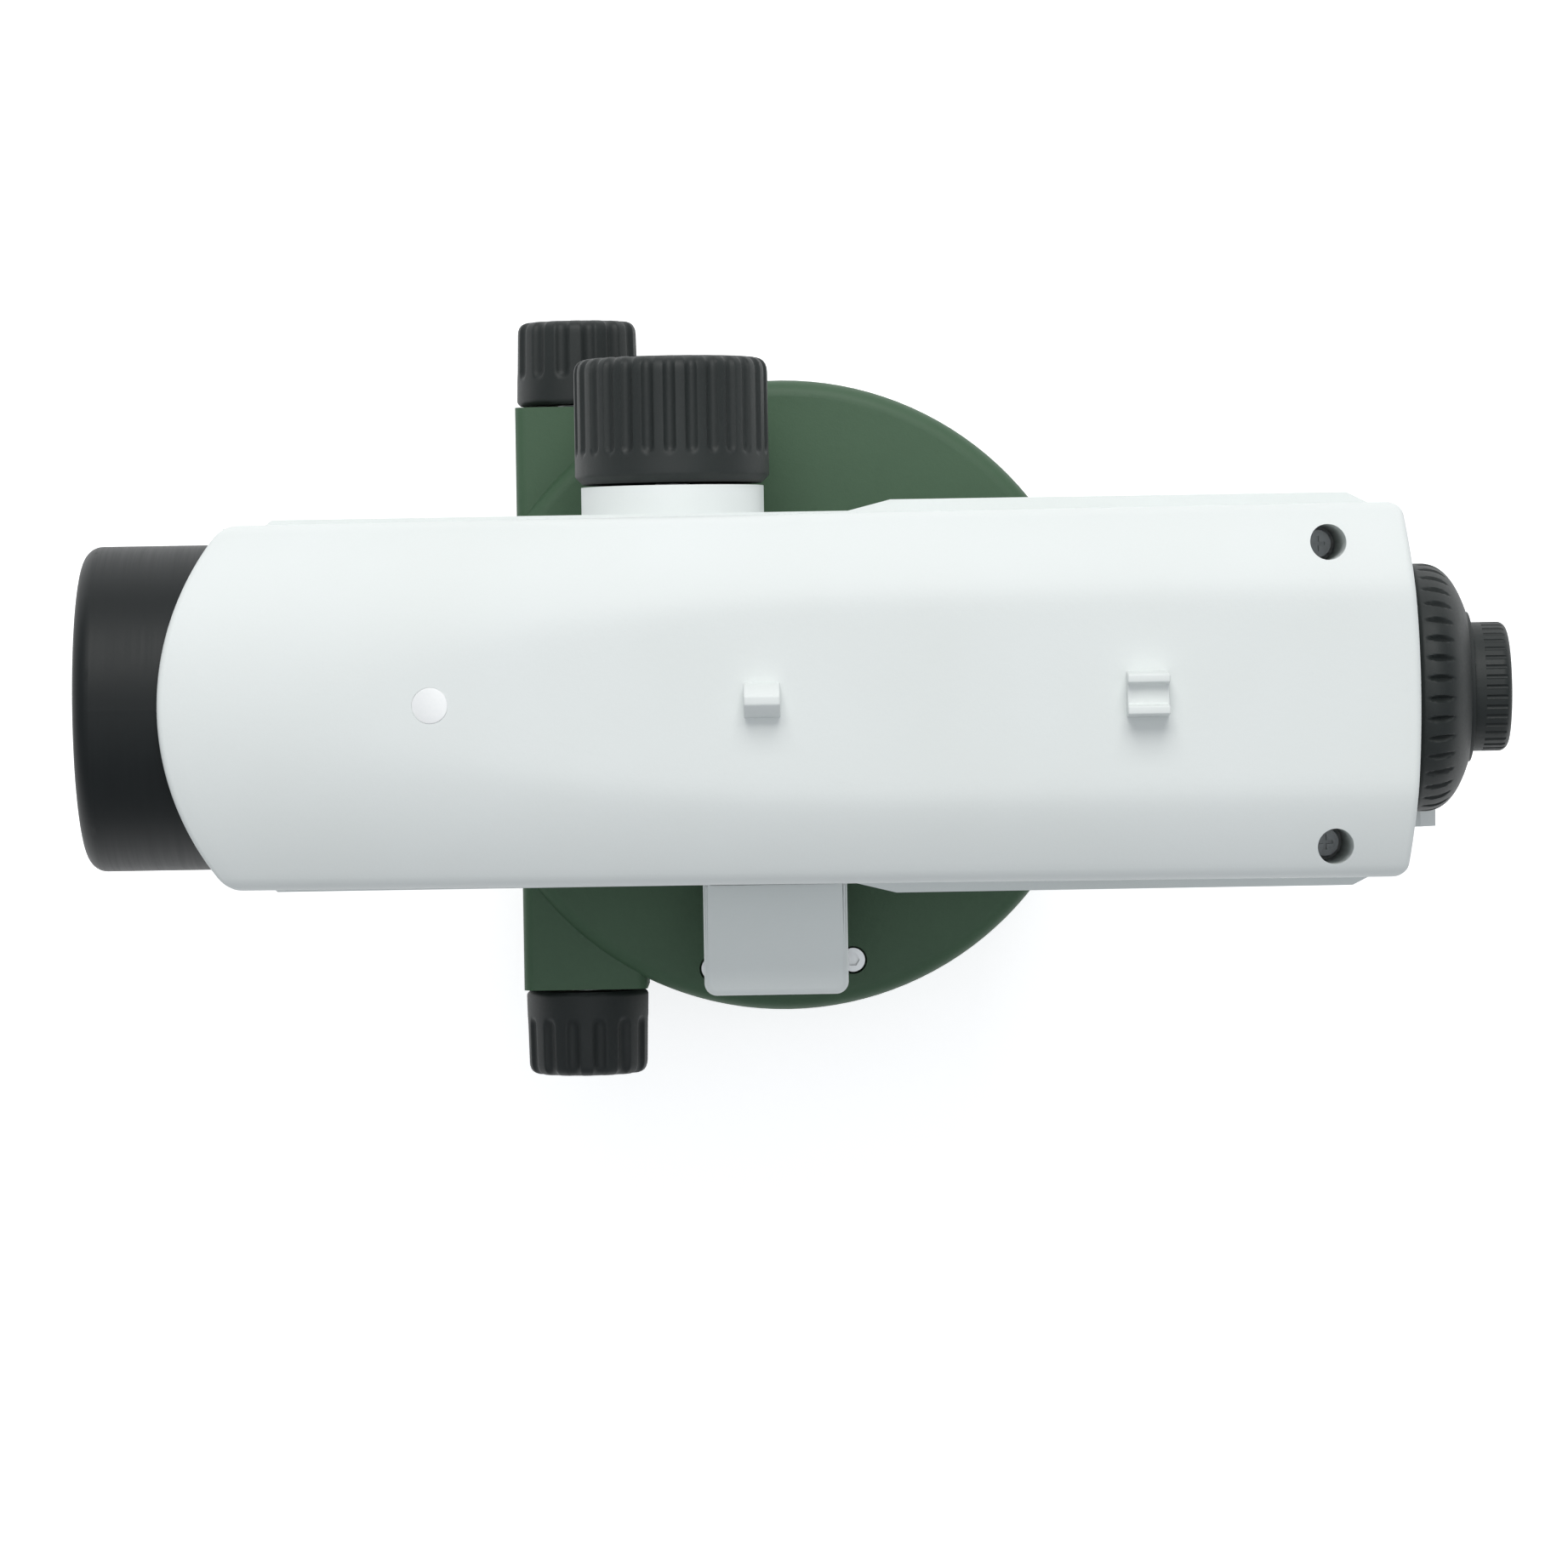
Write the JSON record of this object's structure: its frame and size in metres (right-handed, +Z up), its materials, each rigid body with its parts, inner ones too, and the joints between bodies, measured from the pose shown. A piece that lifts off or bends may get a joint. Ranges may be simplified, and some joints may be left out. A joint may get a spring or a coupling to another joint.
{
  "type": "automatic level",
  "caption": "Surveyor's automatic level: compensator telescope over a horizontal tangent drive, graduated circle and three-screw levelling base with a tripod thread.",
  "frame": {"origin": "on the vertical axis, at the underside of the base plate, at the mouth of the tripod thread", "axes": "+Z up, +X along the line of sight towards the eyepiece, +Y towards the focus knob"},
  "size_m": [0.2, 0.1116, 0.1274],
  "materials": {
    "white_paint": "fine-textured satin paint",
    "green_paint": "fine-textured satin paint",
    "black_anodised": "matt black anodised",
    "black_plastic": "matt moulded plastic",
    "seal_plug": "matt white plastic",
    "steel": "turned steel",
    "dark_steel": "blackened steel",
    "brass": "turned brass",
    "aluminium": "satin machined",
    "glass": "coated optical glass",
    "magnet": "nickel-plated magnet"
  },
  "bodies": {
    "base": {"base_plate": "green_paint", "spring_plate": "steel", "spring_plate_screws": "steel"},
    "foot_screw_a": {"foot_screw_a": "steel", "foot_knob_a": "black_plastic"},
    "foot_screw_b": {"foot_screw_b": "steel", "foot_knob_b": "black_plastic"},
    "foot_screw_c": {"foot_screw_c": "steel", "foot_knob_c": "black_plastic"},
    "tribrach": {"tribrach": "green_paint", "foot_screw_bushes": "brass", "spindle_bush": "brass", "friction_spring": "steel"},
    "circle": {"horizontal_circle": "aluminium"},
    "worm_wheel": {"worm_wheel": "brass"},
    "tangent_drive": {"tangent_worm": "steel", "tangent_knob_right": "black_plastic", "tangent_knob_left": "black_plastic"},
    "focus_drive": {"focus_knob": "black_plastic", "focus_shaft": "steel", "focus_pinion": "brass"},
    "focus_carriage": {"focusing_lens_cell": "brass", "focusing_lens": "glass", "focus_rack": "brass"},
    "pendulum": {"pendulum_frame": "aluminium", "pendulum_prism": "glass"},
    "eyepiece_tube": {"eyepiece_tube": "black_anodised", "field_lens": "glass", "eye_lens": "glass"},
    "eyepiece_ring": {"eyepiece_ring": "black_plastic"},
    "reticle_cover": {"reticle_cover": "black_plastic"},
    "alidade": {"main_housing": "white_paint", "top_cover": "white_paint", "bubble_prism_housing": "white_paint", "base_housing": "green_paint", "objective_barrel": "black_anodised", "objective_retaining_ring": "black_anodised", "focusing_tube": "black_anodised", "eyepiece_mount": "black_anodised", "front_screw_plug": "seal_plug", "vertical_spindle": "steel", "spindle_nut": "steel", "housing_screws": "steel", "reticle_screws": "steel", "level_adjusting_screws": "steel", "suspension_tapes": "steel", "cover_screws": "dark_steel", "front_cover_screw": "dark_steel", "worm_bushes": "brass", "focus_bush": "brass", "reticle_cell": "brass", "compensator_frame": "aluminium", "level_vial_holder": "aluminium", "objective_lens_front": "glass", "objective_lens_rear": "glass", "fixed_prisms": "glass", "reticle_glass": "glass", "level_vial": "glass", "bubble_prism": "glass", "damper_magnets": "magnet"}
  },
  "joints": [
    {"name": "level_tilt", "type": "hinge", "parent": "base", "child": "tribrach", "pos_m": [0, 0.01825, 0.0052], "axis": [1, 0, 0], "range_deg": [-1, 1]},
    {"name": "foot_screw_a_turn", "type": "hinge", "parent": "base", "child": "foot_screw_a", "pos_m": [0, -0.0365, 0.0052], "axis": [0, 0, 1], "range_deg": [-345, 345]},
    {"name": "foot_screw_b_turn", "type": "hinge", "parent": "tribrach", "child": "foot_screw_b", "pos_m": [0.03161, 0.01825, 0.0052], "axis": [0, 0, 1], "range_deg": [-345, 345]},
    {"name": "foot_screw_c_turn", "type": "hinge", "parent": "tribrach", "child": "foot_screw_c", "pos_m": [-0.03161, 0.01825, 0.0052], "axis": [0, 0, 1], "range_deg": [-345, 345]},
    {"name": "circle_turn", "type": "hinge", "parent": "tribrach", "child": "circle", "pos_m": [0, 0, 0.038], "axis": [0, 0, 1], "continuous": true},
    {"name": "azimuth", "type": "hinge", "parent": "tribrach", "child": "alidade", "pos_m": [0, 0, 0.056], "axis": [0, 0, 1], "continuous": true},
    {"name": "tangent_turn", "type": "hinge", "parent": "alidade", "child": "tangent_drive", "pos_m": [-0.0299, 0, 0.052], "axis": [0, 1, 0], "continuous": true},
    {"name": "worm_wheel_turn", "type": "hinge", "parent": "alidade", "child": "worm_wheel", "pos_m": [0, 0, 0.052], "axis": [0, 0, 1], "continuous": true},
    {"name": "focus_turn", "type": "hinge", "parent": "alidade", "child": "focus_drive", "pos_m": [-0.0155, 0, 0.0845], "axis": [0, 1, 0], "range_deg": [-201, 201]},
    {"name": "focus_slide", "type": "slide", "parent": "alidade", "child": "focus_carriage", "axis": [1, 0, 0], "range_m": [-0.0105, 0.0105]},
    {"name": "pendulum_swing", "type": "hinge", "parent": "alidade", "child": "pendulum", "pos_m": [0.035, 0, 0.1346], "axis": [0, 1, 0], "range_deg": [-0.5, 0.5], "deforming": ["suspension_tapes"]},
    {"name": "eyepiece_slide", "type": "slide", "parent": "alidade", "child": "eyepiece_tube", "axis": [1, 0, 0], "range_m": [-0.001, 0.001]},
    {"name": "eyepiece_turn", "type": "hinge", "parent": "eyepiece_tube", "child": "eyepiece_ring", "pos_m": [0.097, 0, 0.1], "axis": [1, 0, 0], "range_deg": [-151, 151]},
    {"name": "reticle_cover_turn", "type": "hinge", "parent": "alidade", "child": "reticle_cover", "pos_m": [0.092, 0, 0.1], "axis": [1, 0, 0], "range_deg": [0, 30]}
  ],
  "couplings": [
    {"joint": "foot_screw_a_turn", "follows": "level_tilt", "ratio": 344},
    {"joint": "worm_wheel_turn", "follows": "tangent_turn", "ratio": -0.015625},
    {"joint": "focus_turn", "follows": "focus_slide", "rad_per_m": 333.33},
    {"joint": "eyepiece_turn", "follows": "eyepiece_slide", "rad_per_m": 2630}
  ]
}
